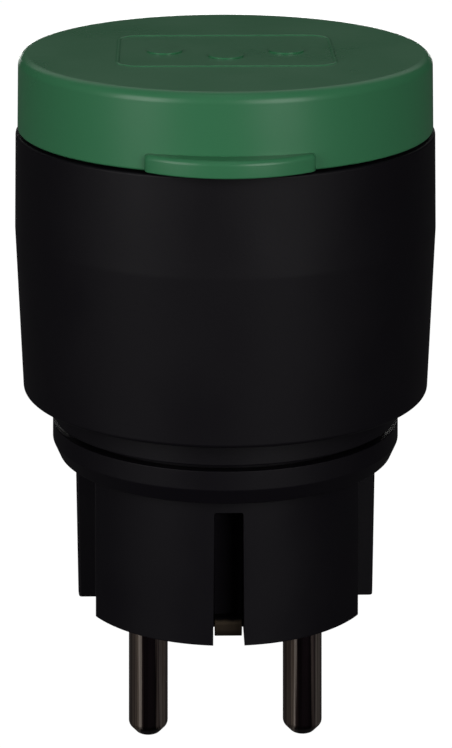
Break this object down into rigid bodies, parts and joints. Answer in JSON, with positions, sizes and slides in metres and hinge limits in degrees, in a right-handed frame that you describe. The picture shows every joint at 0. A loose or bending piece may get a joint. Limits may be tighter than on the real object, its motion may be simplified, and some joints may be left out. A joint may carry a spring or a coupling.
{
  "type": "outdoor smart plug",
  "caption": "Round black plug-through adapter with a sprung green lid over its earthed socket, guide ribs, earth slots and round pins.",
  "frame": {"origin": "centre of the plug's engagement face, on the axis of the casing", "axes": "+Z from the plug to the lid, -Y towards the thumb tab of the lid, +X to the right seen from the tab"},
  "size_m": [0.0518, 0.0589, 0.0843],
  "materials": {
    "casing_plastic": "black satin moulded plastic, fine eroded texture",
    "lid_plastic": "dark green satin moulded plastic",
    "collar_rubber": "black moulded rubber",
    "seal_rubber": "dark grey silicone",
    "pin_metal": "dark nickel-plated brass, turned",
    "earth_metal": "nickel-plated bronze strip, stamped",
    "contact_brass": "bare brass strip",
    "screw_steel": "stainless steel",
    "spring_steel": "drawn stainless spring wire",
    "shutter_plastic": "cream moulded plastic",
    "clear_plastic": "milky clear moulded plastic",
    "led_resin": "yellowish cast resin",
    "switch_plastic": "black heat-proof plastic",
    "board_laminate": "green solder mask on glass laminate",
    "module_laminate": "dark blue solder mask on glass laminate",
    "shield_tin": "tinned steel sheet",
    "relay_plastic": "blue moulded plastic",
    "capacitor_sleeve": "dark blue shrink sleeve",
    "transformer_tape": "yellow polyester tape",
    "fuse_ceramic": "glazed ceramic tube",
    "varistor_resin": "blue dipped resin"
  },
  "bodies": {
    "casing": {"plug_body": "casing_plastic", "live_pin": "pin_metal", "neutral_pin": "pin_metal", "plug_earth_contact": "earth_metal", "plug_screws": "screw_steel", "seal_collar": "collar_rubber", "base_cover": "casing_plastic", "base_gasket": "seal_rubber", "main_shell": "casing_plastic", "socket_insert": "casing_plastic", "insert_seal": "seal_rubber", "insert_screws": "screw_steel", "socket_earth_clip": "earth_metal", "earth_link": "earth_metal", "live_sleeve": "contact_brass", "neutral_sleeve": "contact_brass", "live_strap": "contact_brass", "neutral_strap": "contact_brass", "shutter_spring": "spring_steel", "shutter_clip": "spring_steel", "hinge_pin": "screw_steel", "lid_spring": "spring_steel", "button_seal": "seal_rubber", "light_guide": "clear_plastic", "status_led": "led_resin", "switch_body": "switch_plastic", "control_board": "board_laminate", "radio_module": "module_laminate", "radio_shield": "shield_tin", "power_board": "board_laminate", "board_screws": "screw_steel", "power_relay": "relay_plastic", "load_strap": "contact_brass", "supply_capacitor": "capacitor_sleeve", "supply_transformer": "transformer_tape", "line_fuse": "fuse_ceramic", "surge_varistor": "varistor_resin"},
    "lid": {"lid": "lid_plastic", "lid_gasket": "seal_rubber"},
    "button": {"button_cap": "casing_plastic", "switch_plunger": "switch_plastic"},
    "shutter": {"shutter": "shutter_plastic"}
  },
  "joints": [
    {"name": "lid_hinge", "type": "hinge", "parent": "casing", "child": "lid", "pos_m": [0, 0.02845, 0.057], "axis": [-1, 0, 0], "range_deg": [0, 110], "stiffness_Nm_per_rad": 0.02, "springref_deg": -34.38, "deforming": ["lid_spring"]},
    {"name": "button_press", "type": "slide", "parent": "casing", "child": "button", "axis": [0, -1, 0], "range_m": [0, 0.0008], "stiffness_N_per_m": 600, "springref_m": -0.0005, "deforming": ["button_seal"]},
    {"name": "shutter_turn", "type": "hinge", "parent": "casing", "child": "shutter", "pos_m": [0, 0, 0.0376], "axis": [0, 0, 1], "range_deg": [0, 42], "stiffness_Nm_per_rad": 0.0005, "springref_deg": -17.19, "deforming": ["shutter_spring"]}
  ]
}
